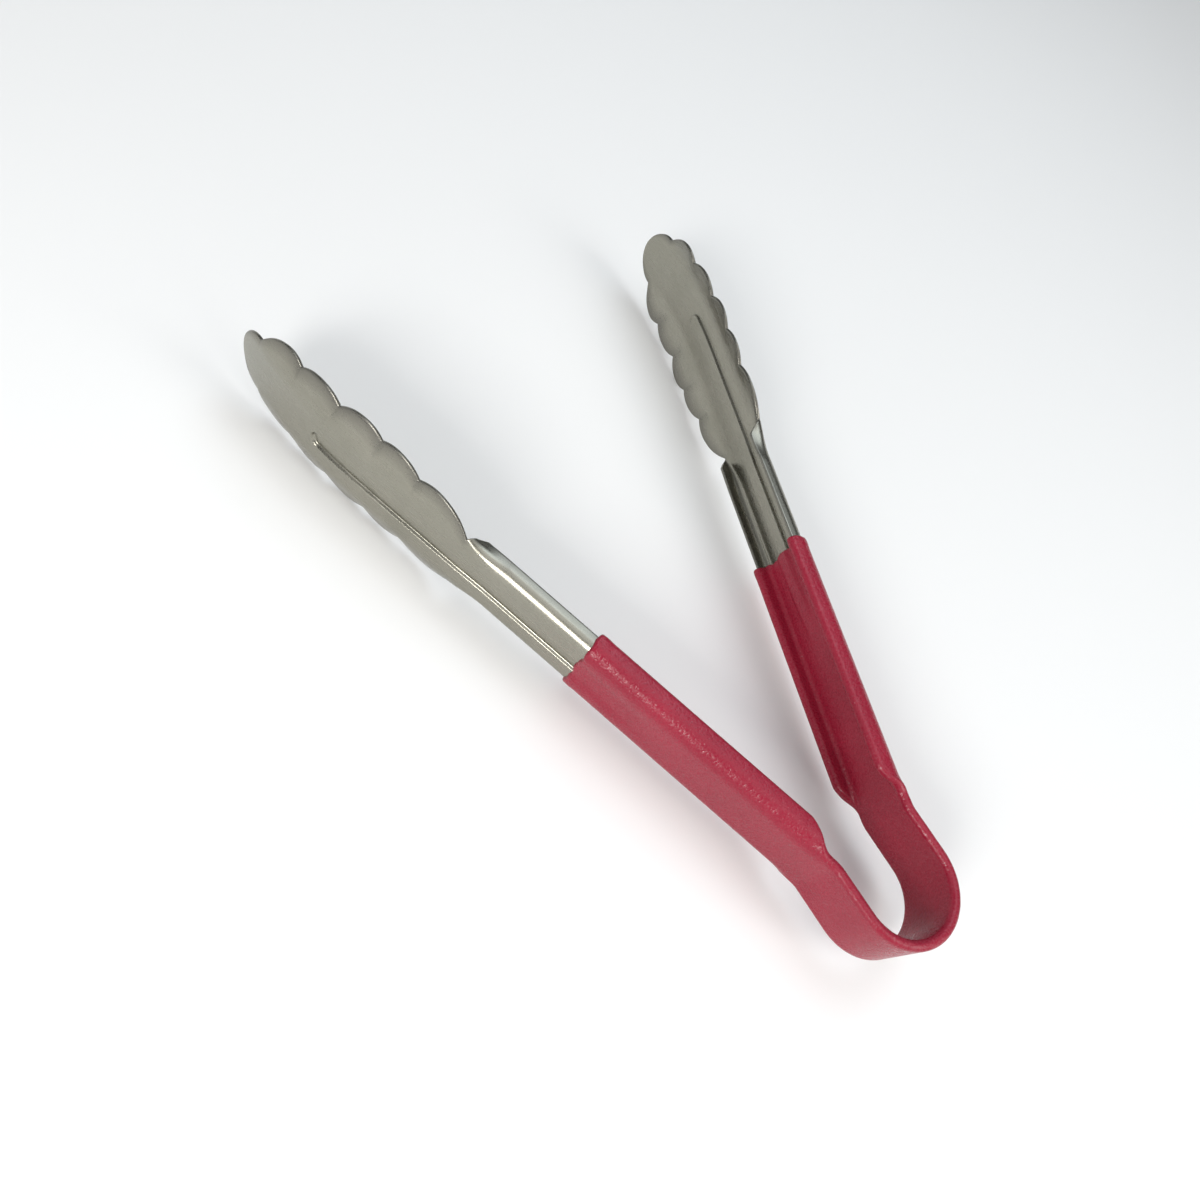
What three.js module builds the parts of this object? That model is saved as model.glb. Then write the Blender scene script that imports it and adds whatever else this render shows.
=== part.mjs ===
// Spring loaded kitchen tongs: one formed stainless steel strip, bent into a U-shaped spring bow
// with two channel-section arms and scalloped jaws, dipped in vinyl from the bow to mid-arm.
//
// The strip is described once, by its middle surface. "length" runs along the strip from the crown
// of the bow, positive into the right arm. "across" runs over the width, in millimetres of flat blank.
// The pieces are cuts of that strip and of its vinyl skin. Where the bow flexes, it is cut into short
// links, so that each link can turn a few degrees on the next.
//
// Millimetres, +Z up. The tongs lie on their side: arms in the XY plane, jaws towards +Y.
import * as THREE from 'three';

// ---- Driving dimensions ----
const STEEL_THICKNESS = 1.0;
const VINYL_THICKNESS = 1.0;
const SKIN_GAP = 0.15; // between the steel and the modelled vinyl, so that they never overlap
const LINK_GAP = 0.3; // between neighbouring pieces of the strip

const BOW_RADIUS = 15.2; // middle of the strip
const BOW_WRAP = THREE.MathUtils.degToRad(89.5); // arc each side of the crown
const BOW_STRAIGHT = 12.6; // straight run from the arc to the neck
const NECK_RADIUS = 8;
const ARM_SPREAD = THREE.MathUtils.degToRad(18.6); // each arm from the centre plane, at rest
const BOW_HALF_WIDTH = 9.2;
const LINKS_PER_SIDE = 3;

const ARM_LENGTH = 208.6; // from the corner of the neck to the jaw tip; places below count from there too
const WEB_HALF_WIDTH = 7.2; // flat part of the channel
const BEND_RADIUS = 3; // middle of the sheet
const CHANNEL_HALF_BLANK = 13.6;
const FLANGE_START = 3;
const FLANGE_FULL = 13;
const GRIP_END = 83.5;
const SHOULDER_CORNER = 121;
const SHOULDER_NOTCH = 125.4;
const SHOULDER_BLEND = [113, 128]; // over this stretch the channel opens into the jaw's bowl
const JAW_START = 123.2;

const GROOVE_DEPTH = 0.9;
const GROOVE_HALF_FLOOR = 2.2;
const GROOVE_WALL = 1.6; // width of each sloping side
const GROOVE_FADE = [50, 76]; // the groove grows out of the grip over this stretch
const GROOVE_TIP = 176;
const FILLED_GROOVE = { wall: 4, share: 0.7 }; // the vinyl softens the groove

const JAW_FLAT_HALF_WIDTH = 3;
const JAW_BEND_RADIUS = 27;
const JAW_FLARE = 0.3; // the back of the jaw stands out from the arm by this much
const JAW_CURL_START = 160; // from here the floor of the jaw curves inwards
const JAW_CURL = 8.8;
const JAW_CURL_POWER = 2.2;
const SCALLOP_DISH = 0.8; // how far each scallop is pressed outwards

// Notches between the scallops: [distance along the arm, half width of the blank].
const NOTCHES = [[SHOULDER_NOTCH, 11.2], [144, 15.2], [157.4, 16.8], [171.5, 16], [185.8, 15.6], [200.5, 10.2]];
const SCALLOP_HEIGHTS = [3.5, 2.5, 3, 2.8, 4];
const [TIP_START, TIP_HALF_WIDTH] = NOTCHES[NOTCHES.length - 1];

// ---- Small helpers ----
const lerp = THREE.MathUtils.lerp;
const smooth = (from, to, value) => THREE.MathUtils.smoothstep(value, from, to);
const bothSides = (shares) => [...shares.slice(1).reverse().map((share) => -share), ...shares];
const evenly = (from, to, steps) => Array.from({ length: steps + 1 }, (_, i) => lerp(from, to, i / steps));
const NECK_TURN = BOW_WRAP - (Math.PI / 2 - ARM_SPREAD);
const ARC_END = BOW_RADIUS * BOW_WRAP;
const NECK_START = ARC_END + BOW_STRAIGHT;
const ARM_START = NECK_START + NECK_RADIUS * NECK_TURN;
const ARM_ORIGIN = ARM_START - NECK_RADIUS * Math.tan(NECK_TURN / 2); // the corner of the neck
const FLEX_STEP = NECK_START / (LINKS_PER_SIDE + 0.5); // joints are evenly spaced along the bow
const STRIP_HALF = STEEL_THICKNESS / 2;

// Where the faces are split over the width, as shares of the half width, from the middle outwards.
const FLAT_SPLITS = [0, 0.5, 1];
const CHANNEL_SPLITS = [0, 0.16, 0.24, 0.33, 0.54, 0.67, 0.79, 0.9, 1];
const JAW_SPLITS = [0, 0.14, 0.21, 0.28, 0.5, 0.75, 1];

// ---- The line of the strip in the XY plane ----
// Returns a point on the line and the heading, measured from +X. The crown is at x = 0.
function stripLine(length) {
  const centreY = BOW_RADIUS + STRIP_HALF + VINYL_THICKNESS;
  const arc = Math.min(length, ARC_END) / BOW_RADIUS;
  let x = BOW_RADIUS * Math.sin(arc);
  let y = centreY - BOW_RADIUS * Math.cos(arc);
  if (length <= ARC_END) return { x, y, heading: arc };
  const straight = Math.min(length, NECK_START) - ARC_END;
  x += straight * Math.cos(BOW_WRAP);
  y += straight * Math.sin(BOW_WRAP);
  if (length <= NECK_START) return { x, y, heading: BOW_WRAP };
  const turned = Math.min(length - NECK_START, NECK_RADIUS * NECK_TURN) / NECK_RADIUS;
  const heading = BOW_WRAP - turned;
  x += NECK_RADIUS * (Math.sin(BOW_WRAP) - Math.sin(heading));
  y += NECK_RADIUS * (Math.cos(heading) - Math.cos(BOW_WRAP));
  const along = Math.max(0, length - ARM_START); // past the end of the bend
  return { x: x + along * Math.cos(heading), y: y + along * Math.sin(heading), heading };
}

// ---- The outline of the flat blank ----
function scallop(share, power = 2.2) {
  return 1 - Math.abs(2 * share - 1) ** power;
}

// Which scallop a place along the arm belongs to, and how far through it, from 0 to 1.
function scallopAt(along) {
  for (let i = 0; i + 1 < NOTCHES.length; i++) {
    const [start, end] = [NOTCHES[i][0], NOTCHES[i + 1][0]];
    if (along >= start && along < end) return { index: i, share: (along - start) / (end - start) };
  }
  return null;
}

function halfBlank(length) {
  const along = length - ARM_ORIGIN;
  if (along >= TIP_START) {
    const share = (along - TIP_START) / (ARM_LENGTH - TIP_START);
    return TIP_HALF_WIDTH * Math.sqrt(Math.max(0, 1 - share ** 2));
  }
  const found = scallopAt(along);
  if (found) {
    const { index, share } = found;
    const base = lerp(NOTCHES[index][1], NOTCHES[index + 1][1], share);
    return base + SCALLOP_HEIGHTS[index] * scallop(share);
  }
  if (along > SHOULDER_CORNER) {
    const share = (along - SHOULDER_CORNER) / (SHOULDER_NOTCH - SHOULDER_CORNER);
    return lerp(CHANNEL_HALF_BLANK, NOTCHES[0][1], share);
  }
  return lerp(BOW_HALF_WIDTH, CHANNEL_HALF_BLANK, smooth(FLANGE_START, FLANGE_FULL, along));
}

// ---- The formed cross-section: z over the width, q towards the other arm ----
function grooveHeight(along, across, wall) {
  const beyond = Math.max(0, along - (GROOVE_TIP - GROOVE_HALF_FLOOR));
  const reach = Math.hypot(across, beyond);
  const side = 1 - smooth(GROOVE_HALF_FLOOR, GROOVE_HALF_FLOOR + wall, reach);
  return GROOVE_DEPTH * side * smooth(...GROOVE_FADE, along);
}

function section(length, across, { wall = GROOVE_WALL, share = 1 } = {}) {
  const along = length - ARM_ORIGIN;
  const toJaw = smooth(...SHOULDER_BLEND, along);
  const flat = lerp(WEB_HALF_WIDTH, JAW_FLAT_HALF_WIDTH, toJaw);
  const bend = lerp(1 / BEND_RADIUS, 1 / JAW_BEND_RADIUS, toJaw);
  const wallAngle = (Math.PI / 2) * smooth(1, 10, along);
  const distance = Math.abs(across);
  const curved = Math.min(Math.max(0, distance - flat), wallAngle / bend);
  const straight = Math.max(0, distance - flat - curved);
  const angle = curved * bend;
  const z = Math.min(distance, flat) + Math.sin(angle) / bend + straight * Math.cos(wallAngle);
  let q = (1 - Math.cos(angle)) / bend + straight * Math.sin(wallAngle) - JAW_FLARE * toJaw;
  if (along > JAW_CURL_START) {
    q += JAW_CURL * ((along - JAW_CURL_START) / (ARM_LENGTH - JAW_CURL_START)) ** JAW_CURL_POWER;
  }
  const found = scallopAt(along);
  if (found) {
    q -= SCALLOP_DISH * scallop(found.share, 2) * smooth(0.55, 1, distance / halfBlank(length));
  }
  q += share * grooveHeight(along, across, wall);
  return { z: Math.sign(across) * z, q };
}

// ---- Points on the strip ----
function place(length, z, q) {
  const { x, y, heading } = stripLine(length);
  return new THREE.Vector3(x - q * Math.sin(heading), y + q * Math.cos(heading), z);
}

// A point at some distance from the middle of the sheet. The direction is turned from the sheet's
// normal, which points to the inside of the tongs, so that rounded edges can be swept.
function onStrip(length, across, distance, turn = 0, groove = {}) {
  const d = 0.02;
  const here = section(length, across, groove);
  const before = section(length, across - d, groove);
  const after = section(length, across + d, groove);
  const angle = Math.atan2(after.q - before.q, after.z - before.z) + turn;
  return place(length, here.z - distance * Math.sin(angle), here.q + distance * Math.cos(angle));
}

// ---- Closed solids from grids of points ----
// A grid is a list of rows of points. Skins and walls share vertices, so the solid is watertight.
function solidFromRings(rings, holes) {
  const points = [];
  const faces = [];
  const add = (rows) => rows.map((row) => row.map((point) => points.push(point) - 1));
  const quad = (a, b, c, d) => faces.push(a, c, b, a, d, c);
  const quadFacingIn = (a, b, c, d) => faces.push(a, b, c, a, c, d);
  const skin = (rows, cover) => {
    const count = rows[0].length;
    for (let i = 0; i + 1 < rows.length; i++) {
      for (let j = 0; j < count; j++) {
        const k = (j + 1) % count;
        cover(rows[i][j], rows[i][k], rows[i + 1][k], rows[i + 1][j]);
      }
    }
  };
  const outer = add(rings);
  skin(outer, quad);
  const last = outer.length - 1;
  if (holes) { // a sleeve: the end faces join the outer ring to the inner one
    const inner = add(holes);
    skin(inner, quadFacingIn);
    const count = inner[0].length;
    for (let j = 0; j < count; j++) {
      const k = (j + 1) % count;
      quad(outer[0][k], outer[0][j], inner[0][j], inner[0][k]);
      quad(outer[last][j], outer[last][k], inner[last][k], inner[last][j]);
    }
  } else { // a sheet: the ring runs over one face and back over the other
    const count = outer[0].length;
    for (let j = 0; j + 1 < count / 2; j++) {
      const [a, b] = [j, j + 1];
      const [c, d] = [count - 2 - j, count - 1 - j];
      quad(outer[0][d], outer[0][c], outer[0][b], outer[0][a]);
      quad(outer[last][a], outer[last][b], outer[last][c], outer[last][d]);
    }
  }
  const geometry = new THREE.BufferGeometry().setFromPoints(points);
  geometry.setIndex(faces);
  return geometry;
}

// Steel between two places on the strip.
function steelSolid(rowPlaces, splits) {
  const rings = rowPlaces.map((length) => {
    const half = Math.max(halfBlank(length), 0.8);
    const spots = bothSides(splits).map((share) => share * half);
    const outside = spots.map((across) => onStrip(length, across, -STRIP_HALF));
    const inside = spots.map((across) => onStrip(length, across, STRIP_HALF));
    return [...outside, ...inside.reverse()];
  });
  return solidFromRings(rings);
}

// One closed line round the strip at a given distance from its middle, with rounded edges.
function roundLine(length, splits, distance, outerGroove) {
  const half = halfBlank(length);
  const spots = bothSides(splits).map((share) => share * half);
  const turns = evenly(0, Math.PI, 4).slice(1, -1);
  return [
    ...spots.map((across) => onStrip(length, across, distance, Math.PI, outerGroove)),
    ...turns.map((turn) => onStrip(length, half, distance, Math.PI + turn)),
    ...spots.reverse().map((across) => onStrip(length, across, distance)),
    ...turns.map((turn) => onStrip(length, -half, distance, turn)),
  ];
}

// A vinyl sleeve round the strip between two places.
function vinylSolid(rowPlaces, splits) {
  const reach = STRIP_HALF + VINYL_THICKNESS;
  const outer = rowPlaces.map((length) => roundLine(length, splits, reach, FILLED_GROOVE));
  const inner = rowPlaces.map((length) => roundLine(length, splits, STRIP_HALF + SKIN_GAP));
  return solidFromRings(outer, inner);
}

// ---- The pieces ----
const steel = new THREE.MeshStandardMaterial({ color: 0xb9b7ae, roughness: 0.32, metalness: 1 });
const vinyl = new THREE.MeshStandardMaterial({ color: 0xa62c44, roughness: 0.5, metalness: 0 });

function mirrored(geometry) {
  const copy = geometry.clone().scale(-1, 1, 1);
  const index = copy.getIndex();
  for (let i = 0; i < index.count; i += 3) {
    const second = index.getX(i + 1);
    index.setX(i + 1, index.getX(i + 2));
    index.setX(i + 2, second);
  }
  return copy;
}

function named(name, geometry, material) {
  const mesh = new THREE.Mesh(geometry, material);
  mesh.name = name;
  return mesh;
}

const halfGap = LINK_GAP / 2;
const joints = evenly(FLEX_STEP / 2, NECK_START, LINKS_PER_SIDE); // where the bow flexes
const linkRows = (i) => evenly(joints[i] + halfGap, joints[i + 1] - halfGap, 3);
const onArm = (places) => places.map((along) => ARM_ORIGIN + along);

// Rows lie closer where the neck bends, the flanges grow, the groove starts and the shoulder is cut.
const neckRows = [NECK_START + halfGap, ...onArm([1.4, 3, 4.5, 6, 8, 10, 13])];
const gripRows = [...neckRows, ...onArm([50, 60, 68, 76, GRIP_END])];
const channelRows = [...neckRows, ...onArm([50, 60, 68, 76, 100, 114, 118, SHOULDER_CORNER, JAW_START])];
const scallopRows = NOTCHES.slice(1).flatMap(([end], i) => evenly(NOTCHES[i][0], end, 6).slice(1));
const tipRows = [0.22, 0.45, 0.65, 0.8, 0.9, 0.97].map((share) => lerp(TIP_START, ARM_LENGTH, share));
const jawRows = onArm([JAW_START + LINK_GAP, SHOULDER_NOTCH, ...scallopRows, ...tipRows]);

const sidePieces = [
  ...[0, 1, 2].flatMap((i) => [
    [`spring_link_${i + 1}`, steelSolid(linkRows(i), FLAT_SPLITS), steel],
    [`vinyl_link_${i + 1}`, vinylSolid(linkRows(i), FLAT_SPLITS), vinyl],
  ]),
  ['arm_channel', steelSolid(channelRows, CHANNEL_SPLITS), steel],
  ['grip', vinylSolid(gripRows, CHANNEL_SPLITS), vinyl],
  ['jaw', steelSolid(jawRows, JAW_SPLITS), steel],
];

const tongs = new THREE.Group();
const crownRows = evenly(-joints[0] + halfGap, joints[0] - halfGap, 4);
tongs.add(named('spring_crown', steelSolid(crownRows, FLAT_SPLITS), steel));
tongs.add(named('vinyl_crown', vinylSolid(crownRows, FLAT_SPLITS), vinyl));
for (const [name, geometry, material] of sidePieces) {
  tongs.add(named(`right_${name}`, geometry, material));
  tongs.add(named(`left_${name}`, mirrored(geometry), material));
}

// The origin is on the surface that the tongs lie on, under the middle of their box.
const box = new THREE.Box3().setFromObject(tongs);
const centre = box.getCenter(new THREE.Vector3());
tongs.position.set(-centre.x, -centre.y, -box.min.z);

export default tongs;
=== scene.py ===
import math

import bpy
import numpy as np
from mathutils import Matrix, Vector


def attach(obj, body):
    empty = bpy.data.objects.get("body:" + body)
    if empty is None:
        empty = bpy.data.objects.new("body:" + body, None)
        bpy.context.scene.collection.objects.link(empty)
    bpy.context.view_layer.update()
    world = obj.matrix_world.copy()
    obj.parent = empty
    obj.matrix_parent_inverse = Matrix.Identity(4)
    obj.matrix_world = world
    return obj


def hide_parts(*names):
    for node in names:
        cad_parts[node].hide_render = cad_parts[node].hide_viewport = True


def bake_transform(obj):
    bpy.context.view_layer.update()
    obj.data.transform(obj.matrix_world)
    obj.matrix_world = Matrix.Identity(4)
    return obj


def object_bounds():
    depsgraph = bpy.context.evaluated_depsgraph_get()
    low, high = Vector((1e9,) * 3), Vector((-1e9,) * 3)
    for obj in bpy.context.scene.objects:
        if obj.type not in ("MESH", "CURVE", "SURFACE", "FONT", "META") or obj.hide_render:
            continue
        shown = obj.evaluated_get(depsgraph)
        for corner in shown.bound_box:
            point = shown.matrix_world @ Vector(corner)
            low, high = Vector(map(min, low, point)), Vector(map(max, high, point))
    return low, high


# Spring loaded kitchen tongs: satin stainless arms with scalloped jaws, and a dipped vinyl coat
# over the spring bow and the handles. The strip is described as in the CAD model, by its middle
# surface: "length" runs along the strip from the crown of the bow, "across" runs over its width.
# Sizes are in millimetres until a mesh is made.

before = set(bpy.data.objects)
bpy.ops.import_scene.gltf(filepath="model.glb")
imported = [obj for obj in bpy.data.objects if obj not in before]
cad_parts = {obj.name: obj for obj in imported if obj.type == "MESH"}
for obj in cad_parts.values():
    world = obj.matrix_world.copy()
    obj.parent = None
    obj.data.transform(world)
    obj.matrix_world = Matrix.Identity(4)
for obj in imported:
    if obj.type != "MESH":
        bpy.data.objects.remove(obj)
CAD_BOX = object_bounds()
MM = 0.001

# ---- Driving dimensions ----
STEEL_HALF = 0.5  # half the thickness of the sheet
VINYL_REACH = 1.5  # from the middle of the strip to the face of the coat
BOW_RADIUS = 15.2
BOW_WRAP = math.radians(89.5)
BOW_STRAIGHT = 12.6
NECK_RADIUS = 8.0
ARM_SPREAD = math.radians(18.6)  # lean of each arm away from the centre plane, at rest
BOW_HALF_WIDTH = 9.2
LINKS_PER_SIDE = 3

# Places on the arm are measured from where its line meets the straight side of the bow.
ARM_LENGTH = 208.6
WEB_HALF_WIDTH = 7.2
BEND_RADIUS = 3.0
CHANNEL_HALF_BLANK = 13.6
FLANGE_START, FLANGE_FULL = 3.0, 13.0  # the blank widens for the flanges between these places
FLANGE_TURNS = (1.0, 10.0)  # and the flanges turn in between these
GRIP_END = 83.5
SHOULDER_CORNER = 121.0
SHOULDER_NOTCH = 125.4
SHOULDER_BLEND = (113.0, 128.0)  # the flat web turns into the jaw between these places
FOLD_LEAVES = 112.0  # from here the fold of the flange drifts out to the shoulder notch
FOLD_TIGHTENS = 0.55  # share by which the fold is sharper at the notch
FLANGE_KEEPS = 0.6  # share of the drift by which the blank widens along with it

GROOVE_DEPTH = 0.9
GROOVE_HALF_FLOOR = 2.2
GROOVE_WALL = 0.65
GROOVE_FADE = (50.0, 76.0)  # the groove deepens between these places, inside the grip
GROOVE_TIP = 176.0
FILLED_WALL, FILLED_SHARE = 4.0, 0.7  # the vinyl fills part of the groove

JAW_FLOOR_HALF_WIDTH = 7.0
JAW_WALL_RUN = 5.0
JAW_WALL_ANGLE = 0.5  # radians
JAW_FLARE = 0.3
JAW_CURL_START, JAW_CURL, JAW_CURL_POWER = 160.0, 8.8, 2.2  # the tip bends towards the other jaw
SCALLOP_DISH = 1.0
SCALLOP_ROUNDNESS, DISH_ROUNDNESS = 2.2, 2  # higher is squarer
DISH_START = 0.5  # share of the half width where the dish begins
# Place along the arm and half width of the blank, at each notch beside a scallop.
NOTCHES = [(125.4, 11.2), (144.0, 15.2), (157.4, 16.8), (171.5, 16.0), (185.8, 15.6), (200.5, 10.2)]
SCALLOP_HEIGHTS = [3.5, 2.5, 3.0, 2.8, 4.0]
TIP_START, TIP_HALF_WIDTH = NOTCHES[-1]

STEEL_HIDDEN = 8.0  # the modelled steel starts this far inside the grip
EDGE_ROUND = 0.22  # corner radius of the sheared edges

# ---- Places worked out from them ----
NECK_TURN = BOW_WRAP - (math.pi / 2 - ARM_SPREAD)
ARC_END = BOW_RADIUS * BOW_WRAP
NECK_START = ARC_END + BOW_STRAIGHT
ARM_START = NECK_START + NECK_RADIUS * NECK_TURN
ARM_ORIGIN = ARM_START - NECK_RADIUS * math.tan(NECK_TURN / 2)
FLEX_STEP = NECK_START / (LINKS_PER_SIDE + 0.5)
BOW_END_Y = CAD_BOX[0].y / MM
MID_Z = (CAD_BOX[0].z + CAD_BOX[1].z) / 2 / MM


def smooth(start, end, value):
    """0 up to start, 1 from end on, and eased between."""
    share = np.clip((value - start) / (end - start), 0, 1)
    return share * share * (3 - 2 * share)


def mix(a, b, share):
    return a + (b - a) * share


# ---- The line of the strip in the XY plane ----
def strip_line(length):
    """x, y and heading at each length, on the right-hand side of the crown."""
    arc = np.minimum(length, ARC_END) / BOW_RADIUS
    x = BOW_RADIUS * np.sin(arc)
    y = BOW_END_Y + VINYL_REACH + BOW_RADIUS * (1 - np.cos(arc))
    straight = np.clip(length, ARC_END, NECK_START) - ARC_END
    x = x + straight * math.cos(BOW_WRAP)
    y = y + straight * math.sin(BOW_WRAP)
    turned = np.clip((length - NECK_START) / NECK_RADIUS, 0, NECK_TURN)
    heading = np.where(length < ARC_END, arc, BOW_WRAP - turned)
    bend = BOW_WRAP - turned
    x = x + NECK_RADIUS * (math.sin(BOW_WRAP) - np.sin(bend))
    y = y + NECK_RADIUS * (np.cos(bend) - math.cos(BOW_WRAP))
    along = np.maximum(0, length - ARM_START)
    return x + along * np.cos(heading), y + along * np.sin(heading), heading


# ---- The outline of the blank ----
def scallop(share, power=SCALLOP_ROUNDNESS):
    """Height of one scallop from notch (share 0) to notch (share 1)."""
    return 1 - np.abs(2 * share - 1) ** power


def fold_leaving(along):
    """How far the fold of the flange has left the web: 0 on the channel, 1 at the notch."""
    return np.clip((along - FOLD_LEAVES) / (SHOULDER_NOTCH - FOLD_LEAVES), 0, 1)


def half_blank(length):
    """Half the width of the flat strip at each length."""
    along = np.asarray(length, float) - ARM_ORIGIN
    half = mix(BOW_HALF_WIDTH, CHANNEL_HALF_BLANK, smooth(FLANGE_START, FLANGE_FULL, along))
    corner = (along - SHOULDER_CORNER) / (SHOULDER_NOTCH - SHOULDER_CORNER)
    drift = (NOTCHES[0][1] - WEB_HALF_WIDTH) * fold_leaving(along) ** 2
    half = half + FLANGE_KEEPS * drift
    wide = CHANNEL_HALF_BLANK + FLANGE_KEEPS * drift
    half = np.where(along > SHOULDER_CORNER, mix(wide, NOTCHES[0][1], corner), half)
    for (start, low), (end, high), height in zip(NOTCHES, NOTCHES[1:], SCALLOP_HEIGHTS):
        share = np.clip((along - start) / (end - start), 0, 1)
        inside = (along >= start) & (along < end)
        half = np.where(inside, mix(low, high, share) + height * scallop(share), half)
    share = np.clip((along - TIP_START) / (ARM_LENGTH - TIP_START), 0, 1)
    return np.where(along >= TIP_START, TIP_HALF_WIDTH * np.sqrt(1 - share**2), half)


# ---- The formed cross-section ----
def groove_height(along, across, wall):
    """How far the sheet is pressed in by the groove, which ends in a half round at its tip."""
    beyond = np.maximum(0, along - (GROOVE_TIP - GROOVE_HALF_FLOOR))
    reach = np.hypot(across, beyond)
    side = 1 - smooth(GROOVE_HALF_FLOOR, GROOVE_HALF_FLOOR + wall, reach)
    return GROOVE_DEPTH * side * smooth(*GROOVE_FADE, along)


def dish(along, reach):
    """How far each scallop is pressed outwards. reach is 1 at the edge of the blank."""
    depth = np.zeros_like(reach)
    for (start, _), (end, _) in zip(NOTCHES, NOTCHES[1:]):
        share = np.clip((along - start) / (end - start), 0, 1)
        depth = depth + SCALLOP_DISH * scallop(share, DISH_ROUNDNESS)
    return depth * smooth(DISH_START, 1, reach)


PROBE = 0.5  # how far beyond the last bend its flat is looked up
NEARLY_FLAT = 1e-6  # curvature of a flat, so that nothing is divided by zero
LEAST_HALF_WIDTH = 0.5  # of the blank, for the same reason
SLOPE_STEP = 0.02  # apart from each other, two points give the slope of the section


def section(length, across):
    """The formed section as z and q (towards the other arm). The sheet is flat in the middle and
    has two bends: into the leaning side of the jaw, and into the flange of the channel. The fold
    of the flange leaves the sheet at the shoulder notch."""
    along = length - ARM_ORIGIN
    reach = np.abs(across)
    to_jaw = smooth(*SHOULDER_BLEND, along)
    leaving = fold_leaving(along)
    fold_at = mix(WEB_HALF_WIDTH, NOTCHES[0][1], leaving**2)
    fold_run = BEND_RADIUS * math.pi / 2 * (1 - FOLD_TIGHTENS * leaving)
    fold_angle = math.pi / 2 * smooth(*FLANGE_TURNS, along) * (along < SHOULDER_NOTCH)
    bends = (
        (JAW_FLOOR_HALF_WIDTH + 0 * along, JAW_WALL_RUN, JAW_WALL_ANGLE * to_jaw),
        (fold_at, fold_run, fold_angle),
    )
    places = np.sort(np.stack(np.broadcast_arrays(
        *[place for start, run, _ in bends for place in (start, start + run)])), axis=0)
    z, q, lean = np.minimum(reach, places[0]), 0.0, 0.0
    for start, end in zip(places, [*places[1:], np.full_like(places[0], np.inf)]):
        middle = np.minimum((start + end) / 2, start + PROBE)
        bend = NEARLY_FLAT
        for bend_start, run, angle in bends:
            inside = (middle > bend_start) & (middle < bend_start + run)
            bend = bend + np.where(inside, angle / run, 0)
        after = lean + bend * (np.clip(reach, start, end) - start)
        z = z + (np.sin(after) - np.sin(lean)) / bend
        q = q + (np.cos(lean) - np.cos(after)) / bend
        lean = after
    curl = np.maximum(0, along - JAW_CURL_START) / (ARM_LENGTH - JAW_CURL_START)
    q = q + JAW_CURL * curl**JAW_CURL_POWER - JAW_FLARE * to_jaw
    q = q - dish(along, reach / np.maximum(half_blank(length), LEAST_HALF_WIDTH))
    return np.sign(across) * z, q


def on_strip(length, across, distance, turn=0.0, wall=GROOVE_WALL, share=1.0):
    """Points at a distance from the middle of the sheet. turn leans the direction away from the
    sheet's normal, which points to the inside of the tongs, so that edges can be rounded. The
    groove is added to the finished surface, so its steep walls never fold over."""
    z, q = section(length, across)
    z0, q0 = section(length, across - SLOPE_STEP)
    z1, q1 = section(length, across + SLOPE_STEP)
    angle = np.arctan2(q1 - q0, z1 - z0) + turn
    z = z - distance * np.sin(angle)
    q = q + distance * np.cos(angle) + share * groove_height(length - ARM_ORIGIN, across, wall)
    x, y, heading = strip_line(length)
    return np.stack([x - q * np.sin(heading), y + q * np.cos(heading), MID_Z + z], axis=-1)


# ---- Meshes ----
UV_PER_MM = 0.01


def loft_faces(rows, count):
    """Faces between neighbouring rings of count points, and over the first and the last ring."""
    faces = []
    for i in range(rows - 1):
        for j in range(count):
            k = (j + 1) % count
            faces.append((i * count + j, (i + 1) * count + j, (i + 1) * count + k, i * count + k))
    for first, flip in ((0, False), ((rows - 1) * count, True)):
        for i in range(count // 2):
            corners = [first + i, first + i + 1, first + count - i - 1, first + (count - i) % count]
            corners = list(dict.fromkeys(corners))
            faces.append(tuple(reversed(corners) if flip else corners))
    return faces


def mark_mesh(mesh, marks, rows, count):
    """Keeps the marks with the mesh and makes the outlines of its two ends sharp."""
    uv = mesh.uv_layers.new(name="strip")
    loops = np.zeros(len(mesh.loops), dtype=np.int32)
    mesh.loops.foreach_get("vertex_index", loops)
    marks = marks.reshape(-1, 3)
    uv.data.foreach_set("uv", (marks[loops, :2] * UV_PER_MM).ravel())
    mesh.attributes.new("edge", "FLOAT", "POINT").data.foreach_set("value", marks[:, 2].copy())
    mesh.polygons.foreach_set("use_smooth", np.ones(len(mesh.polygons), dtype=bool))
    sharp = {tuple(sorted((end + j, end + (j + 1) % count)))
             for end in (0, (rows - 1) * count) for j in range(count)}
    edges = [tuple(sorted(edge.vertices)) in sharp for edge in mesh.edges]
    mesh.attributes.new("sharp_edge", "BOOLEAN", "EDGE").data.foreach_set("value", edges)


def loft(name, rings, marks, side):
    """A closed mesh from rings of points. Each ring starts at one edge of the strip, runs over the
    outside to the other edge and comes back over the inside, so its ends close with a strip of
    faces from point i to point n - i. marks are length and across of each point, kept as a UV map,
    and how near it is to the edge of the blank (1 is at the edge)."""
    rows, count = rings.shape[:2]
    points = rings.reshape(-1, 3) * MM
    faces = loft_faces(rows, count)
    if side < 0:
        points = points * np.array([-1, 1, 1])
        faces = [tuple(reversed(face)) for face in faces]
    mesh = bpy.data.meshes.new(name)
    mesh.from_pydata(points.tolist(), [], faces)
    mark_mesh(mesh, marks, rows, count)
    mesh.validate()
    piece = bpy.data.objects.new(name, mesh)
    bpy.context.scene.collection.objects.link(piece)
    return piece


def spread(start, end, step):
    """Places from start to end, about a step apart."""
    return np.linspace(start, end, max(2, int(round((end - start) / step)) + 1))


def joined(*runs):
    """Runs of places end to end, each shared place kept once."""
    return np.unique(np.round(np.concatenate(runs), 5))


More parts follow.
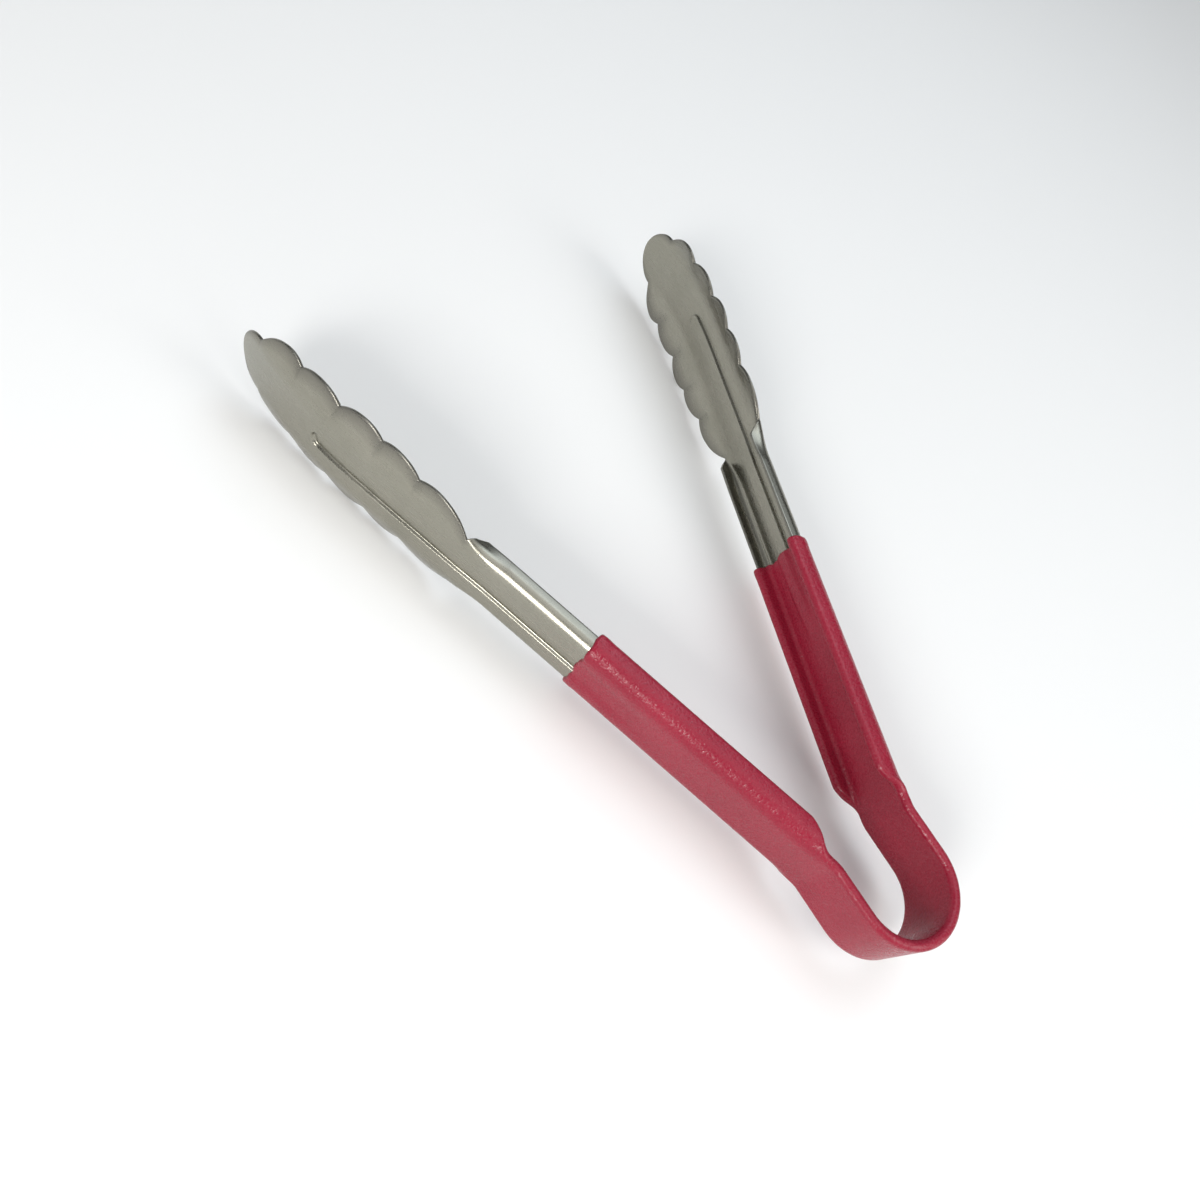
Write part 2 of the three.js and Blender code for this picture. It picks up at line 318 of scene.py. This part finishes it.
ROWS_PER_SCALLOP, ROWS_ON_TIP = 25, 26
GROOVE_TIP_RUN = (GROOVE_TIP - 3, GROOVE_TIP + 1.5)  # finer rows, around the tip of the groove
LAST_LEAN = math.radians(88)  # the last row, round the tip of the jaw
CROWDING = 0.5  # 0 crowds the rows beside the notches most, 1 spaces them evenly


def scallop_rows():
    """Rows over the jaw, closer together beside the notches."""
    runs = []
    even = np.linspace(0, 1, ROWS_PER_SCALLOP)
    crowded = (1 - np.cos(math.pi * even)) / 2
    for (start, _), (end, _) in zip(NOTCHES, NOTCHES[1:]):
        runs.append(mix(start, end, mix(crowded, even, CROWDING)))
    runs.append(spread(*GROOVE_TIP_RUN, 0.25))
    lean = np.linspace(0, LAST_LEAN, ROWS_ON_TIP)
    runs.append(TIP_START + (ARM_LENGTH - TIP_START) * np.sin(lean))
    return joined(*runs)


GROOVE_COLUMNS = [0, 0.8, 1.5, 1.9, 2.1, 2.2, 2.3, 2.4, 2.5, 2.6, 2.7, 2.8, 2.9, 3.1, 3.5, 4.2, 5.0]
OUTER_COLUMNS = 22
NARROW_TIP = 8.0  # where the blank is narrower than this, all columns draw together


def steel_columns(half):
    """Places across one half of the sheet, crowded over the walls of the groove."""
    near = np.array(GROOVE_COLUMNS)[None, :] * np.minimum(1, half / NARROW_TIP)
    shares = np.linspace(0, 1, OUTER_COLUMNS + 1)[None, 1:]
    return np.concatenate([near, mix(near[:, -1:], half, shares)], axis=1)


# Each sheared edge is rounded in steps: shares of the corner radius outwards and down.
CORNER_OUT = np.array([0.7, 1.0])
CORNER_DOWN = np.array([0.3, 1.0])
LARGEST_CORNER = 0.3  # share of the half width, where the tip is narrow


def steel_face(half):
    """Places across the sheet, and how far its face is there from the middle of the sheet."""
    inset = np.minimum(EDGE_ROUND, half * LARGEST_CORNER)
    columns = steel_columns(half - inset)
    flat = np.concatenate([-columns[:, :0:-1], columns], axis=1)
    corner = half - inset + inset * CORNER_OUT
    across = np.concatenate([-corner[:, ::-1], flat, corner], axis=1)
    drop = np.broadcast_to(STEEL_HALF - EDGE_ROUND * CORNER_DOWN, corner.shape)
    distance = np.concatenate([drop[:, ::-1], np.full_like(flat, STEEL_HALF), drop], axis=1)
    return across, distance


def steel_arm(side_name, side):
    """Channel and jaw of one side, as one sheet."""
    rows = joined(
        spread(GRIP_END - STEEL_HIDDEN, FOLD_LEAVES, 2.0),
        spread(FOLD_LEAVES, SHOULDER_CORNER, 0.6),
        spread(SHOULDER_CORNER, SHOULDER_NOTCH, 0.4),
        scallop_rows(),
    )
    length = (ARM_ORIGIN + rows)[:, None]
    half = half_blank(length)
    across, distance = steel_face(half)
    lengths = np.broadcast_to(length, across.shape)
    outside = on_strip(lengths, across, -distance)
    inside = on_strip(lengths, across, distance)
    edge_a = on_strip(length, -half, 0.0)
    edge_b = on_strip(length, half, 0.0)
    rings = np.concatenate([edge_a, outside, edge_b, inside[:, ::-1]], axis=1)
    spots = np.concatenate([-half, across, half, across[:, ::-1]], axis=1)
    marks = np.stack(np.broadcast_arrays(rows[:, None], spots, np.abs(spots) / half), axis=-1)
    piece = loft(f"{side_name}_steel_arm", rings, marks, side)
    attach(piece, f"{side_name}_arm")
    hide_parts(f"{side_name}_arm_channel", f"{side_name}_jaw")
    return piece


# ---- The vinyl coat ----
VINYL_COLUMNS = 52
EDGE_STEPS = 10  # in the half circle round each edge
LIP_RADIUS = 0.8
LIP_SINKS = 0.12  # the rolled lip ends this far below the steel's face
BEAD_HEIGHT, BEAD_PLACE, BEAD_SPREAD = 0.12, 2.2, 1.3  # a thicker ring of vinyl just before the lip
LIP_WAVES = ((0.28, 0.55, 0.8), (0.16, 1.45, 2.1))  # height, radians per mm and phase
LIP_WANDER_START, LIP_WANDER_FULL = 12.0, 1.0  # before the end of the grip
NECK_RUN, LIP_RUN, ROLL_RUN = 14.0, 14.0, 1.2  # finer rows at the neck, near the lip and over it


def lip(across):
    """The dip line wanders a little over the width."""
    return sum(height * np.sin(pace * across + phase) for height, pace, phase in LIP_WAVES)


def lip_reach(length, end):
    """Distance from the middle of the strip to the face of the coat. The coat swells a little before
    its end, then rolls down to just under the steel's face."""
    short = np.clip((length - (end - LIP_RADIUS)) / LIP_RADIUS, 0, 1)
    bead = BEAD_HEIGHT * np.exp(-(((length - end + BEAD_PLACE) / BEAD_SPREAD) ** 2))
    roll = (VINYL_REACH - STEEL_HALF + LIP_SINKS) * (1 - np.sqrt(np.maximum(0, 1 - short**2)))
    return VINYL_REACH + bead - roll


def vinyl_rings(rows, ends_in_lip):
    """Rings round the coat, and their marks."""
    length = rows[:, None]
    end = ARM_ORIGIN + GRIP_END
    reach = lip_reach(length, end) if ends_in_lip else np.full_like(length, VINYL_REACH)
    half = half_blank(np.minimum(length, end))
    shares = np.linspace(-1, 1, VINYL_COLUMNS + 1)[None, :]
    across = shares * half
    turns = np.linspace(0, math.pi, EDGE_STEPS + 1)[None, 1:-1]
    middle = turns.shape[1] // 2
    filled = dict(wall=FILLED_WALL, share=FILLED_SHARE)

    def shifted(spots):
        """Lengths of points across the strip, following the dip line near the lip."""
        if not ends_in_lip:
            return np.broadcast_to(length, spots.shape)
        near = smooth(end - LIP_WANDER_START, end - LIP_WANDER_FULL, length)
        return length + near * lip(spots)

    def edge(side, turn):
        """Half a circle of points round one edge of the strip."""
        spots = np.broadcast_to(side * half, (len(rows), turn.shape[1]))
        return on_strip(shifted(spots), spots, np.broadcast_to(reach, spots.shape), turn), spots

    outside = on_strip(shifted(across), across, np.broadcast_to(reach, across.shape), math.pi, **filled)
    inside = on_strip(shifted(across), across, np.broadcast_to(reach, across.shape))
    right, right_spots = edge(1, math.pi + turns)
    left, left_spots = edge(-1, turns)
    rings = np.concatenate(
        [left[:, middle:], outside, right, inside[:, ::-1], left[:, :middle]], axis=1)
    spots = np.concatenate(
        [left_spots[:, middle:], across, right_spots, across[:, ::-1], left_spots[:, :middle]], axis=1)
    marks = np.stack(np.broadcast_arrays(length - ARM_ORIGIN, spots, np.abs(spots) / half), axis=-1)
    return rings, marks


def grip_rows(start):
    """Rows from a place on the bow to the dip line, closer together where the form changes."""
    end = ARM_ORIGIN + GRIP_END
    return joined(
        spread(start, ARM_ORIGIN + NECK_RUN, 0.5),
        spread(ARM_ORIGIN + NECK_RUN, end - LIP_RUN, 2.0),
        spread(end - LIP_RUN, end - ROLL_RUN, 0.8),
        spread(end - ROLL_RUN, end, 0.1),
    )


def coat(side_name, side):
    """The coat of one side, in runs that are each centred on one joint."""
    joints = [FLEX_STEP * (i + 0.5) for i in range(LINKS_PER_SIDE + 1)]
    bodies = ["bow_crown"] + [f"{side_name}_link_{i + 1}" for i in range(LINKS_PER_SIDE)]
    bodies.append(f"{side_name}_arm")
    pieces = []
    for i, joint in enumerate(joints):
        start, end = joint - FLEX_STEP / 2, joint + FLEX_STEP / 2
        last = i == LINKS_PER_SIDE
        if last:
            rows = grip_rows(start)
            name = f"{side_name}_vinyl_grip"
            stands_for = [f"{side_name}_grip"]
        else:
            rows = spread(start, end, 0.5)
            name = f"{side_name}_vinyl_bow_{i + 1}"
            stands_for = [f"{side_name}_vinyl_link_{i + 1}", f"{side_name}_spring_link_{i + 1}"]
        if i == 0 and side > 0:
            stands_for += ["vinyl_crown", "spring_crown"]
        rings, marks = vinyl_rings(rows, last)
        piece = loft(name, rings, marks, side)
        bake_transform(piece)
        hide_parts(*stands_for)
        pieces.append(piece)
    return pieces


# ---- Materials ----
class Nodes:
    """Adds nodes to a material and links them."""

    def __init__(self, name):
        self.material = bpy.data.materials.new(name)
        self.material.use_nodes = True
        self.tree = self.material.node_tree
        self.shader = self.tree.nodes["Principled BSDF"]

    def add(self, kind, inputs=None, **settings):
        node = self.tree.nodes.new(kind)
        for key, value in settings.items():
            setattr(node, key, value)
        for key, value in (inputs or {}).items():
            self.put(node.inputs[key], value)
        return node

    def put(self, socket, value):
        if isinstance(value, bpy.types.NodeSocket):
            self.tree.links.new(value, socket)
        else:
            socket.default_value = value

    def noise(self, vector, scale, detail=3.0, roughness=0.55):
        inputs = {"Vector": vector, "Scale": scale, "Detail": detail, "Roughness": roughness}
        return self.add("ShaderNodeTexNoise", inputs).outputs["Fac"]

    def ramp(self, value, low, high, to_low=0.0, to_high=1.0):
        inputs = {"Value": value, "From Min": low, "From Max": high, "To Min": to_low, "To Max": to_high}
        return self.add("ShaderNodeMapRange", inputs).outputs["Result"]

    def math(self, operation, a, b):
        return self.add("ShaderNodeMath", {0: a, 1: b}, operation=operation).outputs[0]

    def blend(self, share, a, b):
        node = self.add("ShaderNodeMix", data_type="RGBA")
        self.put(node.inputs[0], share)
        self.put(node.inputs[6], a)
        self.put(node.inputs[7], b)
        return node.outputs[2]

    def stretched(self, vector, scale):
        return self.add("ShaderNodeMapping", {"Vector": vector, "Scale": scale}).outputs["Vector"]

    def bump(self, height, distance, strength, normal=None):
        inputs = {"Height": height, "Distance": distance, "Strength": strength}
        if normal is not None:
            inputs["Normal"] = normal
        return self.add("ShaderNodeBump", inputs).outputs["Normal"]


# The darkest steel colour is painted shade, blended in towards the sheared edges.
STEEL_DARK, STEEL_LIGHT = (0.29, 0.28, 0.232, 1), (0.335, 0.32, 0.27, 1)
STEEL_GRAIN, STEEL_EDGE_SHADE = (0.40, 0.385, 0.335, 1), (0.16, 0.152, 0.135, 1)
VINYL_DARK, VINYL_LIGHT = (0.26, 0.010, 0.029, 1), (0.30, 0.014, 0.036, 1)
PAPER_DARK, PAPER_LIGHT = (0.86, 0.86, 0.855, 1), (0.88, 0.88, 0.875, 1)


def satin_steel():
    """Brushed along the strip, a little uneven, and darkened by painted shade towards the sheared edges.
    """
    n = Nodes("satin_steel")
    uv = n.add("ShaderNodeUVMap", uv_map="strip").outputs["UV"]
    place = n.add("ShaderNodeTexCoord").outputs["Object"]
    grain = n.noise(n.stretched(uv, (18.0, 320.0, 1.0)), 1.0, detail=3.0)
    fine = n.noise(place, 2600.0, detail=2.0)
    cloudy = n.noise(place, 55.0, detail=3.0)
    rub = n.noise(n.stretched(uv, (14.0, 120.0, 1.0)), 1.0, detail=5.0, roughness=0.7)
    tint = n.blend(n.ramp(cloudy, 0.3, 0.7), STEEL_DARK, STEEL_LIGHT)
    tint = n.blend(n.ramp(grain, 0.35, 0.65, 0.0, 0.16), tint, STEEL_GRAIN)
    # Painted shade: the base colour darkens towards the edge of the blank, where the dished scallops turn
    # away from the light.
    edge = n.add("ShaderNodeAttribute", attribute_name="edge").outputs["Fac"]
    edge_shade_share = n.math("ADD", edge, n.ramp(cloudy, 0.3, 0.7, -0.06, 0.06))
    tint = n.blend(n.ramp(edge_shade_share, 0.74, 1.0, 0.0, 0.72), tint, STEEL_EDGE_SHADE)
    n.put(n.shader.inputs["Base Color"], tint)
    n.shader.inputs["Metallic"].default_value = 1.0
    rough = n.math("ADD", n.ramp(rub, 0.3, 0.7, 0.24, 0.34), n.ramp(fine, 0.3, 0.7, -0.03, 0.03))
    n.put(n.shader.inputs["Roughness"], rough)
    n.shader.inputs["Anisotropic"].default_value = 0.25
    streaks = n.bump(grain, 0.000004, 0.1)
    n.put(n.shader.inputs["Normal"], n.bump(fine, 0.000006, 0.2, streaks))
    return n.material


def dipped_vinyl():
    """Dark red plastisol with a fine pebble that breaks up its highlights."""
    n = Nodes("dipped_vinyl")
    place = n.add("ShaderNodeTexCoord").outputs["Object"]
    pebble = n.noise(place, 1500.0, detail=1.0, roughness=0.5)
    ripple = n.noise(place, 420.0, detail=2.0)
    patch = n.noise(place, 60.0, detail=3.0)
    tint = n.blend(n.ramp(patch, 0.3, 0.7), VINYL_DARK, VINYL_LIGHT)
    n.put(n.shader.inputs["Base Color"], tint)
    n.put(n.shader.inputs["Roughness"], n.ramp(pebble, 0.35, 0.65, 0.2, 0.42))
    n.shader.inputs["Specular IOR Level"].default_value = 0.33
    n.shader.inputs["Coat Weight"].default_value = 0.06
    n.shader.inputs["Coat Roughness"].default_value = 0.25
    soft = n.bump(ripple, 0.00006, 0.4)
    n.put(n.shader.inputs["Normal"], n.bump(pebble, 0.0002, 1.0, soft))
    return n.material


def floor_paper():
    """Matt and nearly white."""
    n = Nodes("floor_paper")
    place = n.add("ShaderNodeTexCoord").outputs["Object"]
    tint = n.blend(n.noise(place, 3.0), PAPER_DARK, PAPER_LIGHT)
    n.put(n.shader.inputs["Base Color"], tint)
    n.shader.inputs["Roughness"].default_value = 0.9
    return n.material


# ---- Stage, light and camera ----
FLOOR_REACH = 8.0  # metres
FLOOR_GAP = 0.0002  # metres, below the tongs


def floor():
    mesh = bpy.data.meshes.new("floor")
    level = CAD_BOX[0].z - FLOOR_GAP
    signs = ((-1, -1), (1, -1), (1, 1), (-1, 1))
    corners = [(x * FLOOR_REACH, y * FLOOR_REACH, level) for x, y in signs]
    mesh.from_pydata(corners, [], [(0, 1, 2, 3)])
    plane = bpy.data.objects.new("floor", mesh)
    bpy.context.scene.collection.objects.link(plane)
    plane.data.materials.append(floor_paper())


def softbox(name, direction, distance, size, power, tint=(1, 1, 1)):
    """A square area light that faces the tongs from a direction."""
    lamp = bpy.data.lights.new(name, "AREA")
    lamp.shape = "SQUARE"
    lamp.size = size
    lamp.energy = power
    lamp.color = tint
    holder = bpy.data.objects.new(name, lamp)
    bpy.context.scene.collection.objects.link(holder)
    away = Vector(direction).normalized()
    holder.location = Vector((0, 0, MID_Z * MM)) + away * distance
    holder.rotation_euler = (-away).to_track_quat("-Z", "Y").to_euler()


# Brightness of the room by height, as the sine of the elevation: towards -X and towards +X.
NEAR_WALL = [(0.0, 0.75), (0.30, 0.75), (0.55, 0.25), (0.86, 0.15), (1.0, 0.6)]
FAR_WALL = [(0.0, 0.9), (0.12, 0.7), (0.25, 0.12), (0.66, 0.12), (0.78, 0.62), (1.0, 0.7)]
WALLS_MEET = (0.0, 0.35)  # the room turns from one wall to the other between these shares of +X
WALL_TINT = (0.98, 1.0, 1.02)


def wall(tree, height, steps):
    """The colour of one side of the room at each height."""
    ramp = tree.nodes.new("ShaderNodeValToRGB")
    tree.links.new(height, ramp.inputs[0])
    while len(ramp.color_ramp.elements) < len(steps):
        ramp.color_ramp.elements.new(0.5)
    for element, (place, value) in zip(ramp.color_ramp.elements, steps):
        element.position = place
        element.color = (*(value * tint for tint in WALL_TINT), 1)
    return ramp.outputs["Color"]


def room():
    """A pale room with a darker band halfway up its walls."""
    world = bpy.data.worlds.new("studio")
    bpy.context.scene.world = world
    world.use_nodes = True
    tree = world.node_tree
    background = tree.nodes["Background"]
    towards = tree.nodes.new("ShaderNodeTexCoord").outputs["Generated"]
    apart = tree.nodes.new("ShaderNodeSeparateXYZ")
    tree.links.new(towards, apart.inputs[0])
    side = tree.nodes.new("ShaderNodeMapRange")
    tree.links.new(apart.outputs["X"], side.inputs["Value"])
    side.inputs["From Min"].default_value, side.inputs["From Max"].default_value = WALLS_MEET
    both = tree.nodes.new("ShaderNodeMix")
    both.data_type = "RGBA"
    tree.links.new(side.outputs["Result"], both.inputs[0])
    tree.links.new(wall(tree, apart.outputs["Z"], NEAR_WALL), both.inputs[6])
    tree.links.new(wall(tree, apart.outputs["Z"], FAR_WALL), both.inputs[7])
    tree.links.new(both.outputs[2], background.inputs["Color"])
    background.inputs["Strength"].default_value = 1.0


def studio_light():
    """The room, a key from the left, a cool top light, and soft light from the front and above."""
    room()
    softbox("key", (-0.82, -0.20, 0.53), distance=0.75, size=0.24, power=2.8, tint=(1.0, 0.985, 0.96))
    softbox("top", (0.38, 0.24, 0.89), distance=0.9, size=0.52, power=1.5, tint=(0.86, 0.98, 1.08))
    softbox("fill", (0.15, -0.75, 0.65), distance=1.1, size=0.7, power=6.0, tint=(1.0, 0.99, 0.97))
    softbox("overhead", (-0.12, 0.0, 1.0), distance=1.0, size=0.8, power=1.6)


SENSOR = 36.0  # millimetres
PHOTO_FRAME = 1200  # side of the photograph, in pixels
CAMERA_FOCAL = 922.4  # in the same pixels
CAMERA_AZIMUTH = math.radians(-69.21)
CAMERA_ELEVATION = math.radians(56.21)
CAMERA_ROLL = math.radians(39.16)
CAMERA_TARGET = (-0.0245, 0.00702)  # where the view's axis meets the middle plane of the tongs
CAMERA_DISTANCE = 0.25418  # metres, from there


def make_camera():
    """The photograph's viewing angle, fitted to 28 points of the tongs."""
    data = bpy.data.cameras.new("camera")
    data.sensor_width = SENSOR
    data.lens = SENSOR * CAMERA_FOCAL / PHOTO_FRAME
    data.clip_start = 0.01
    camera = bpy.data.objects.new("camera", data)
    bpy.context.scene.collection.objects.link(camera)
    back = Vector((
        math.sin(CAMERA_AZIMUTH) * math.cos(CAMERA_ELEVATION),
        -math.cos(CAMERA_AZIMUTH) * math.cos(CAMERA_ELEVATION),
        math.sin(CAMERA_ELEVATION),
    ))
    level = (-back).to_track_quat("-Z", "Y").to_matrix().to_4x4()
    target = Vector((*CAMERA_TARGET, MID_Z * MM))
    camera.matrix_world = (
        Matrix.Translation(target + back * CAMERA_DISTANCE) @ level @ Matrix.Rotation(CAMERA_ROLL, 4, "Z"))
    bpy.context.scene.camera = camera


make_camera()
steel = satin_steel()
vinyl = dipped_vinyl()
for side_name, side in (("right", 1), ("left", -1)):
    steel_arm(side_name, side).data.materials.append(steel)
    for piece in coat(side_name, side):
        piece.data.materials.append(vinyl)
floor()
studio_light()
bpy.context.scene.view_settings.view_transform = "Standard"
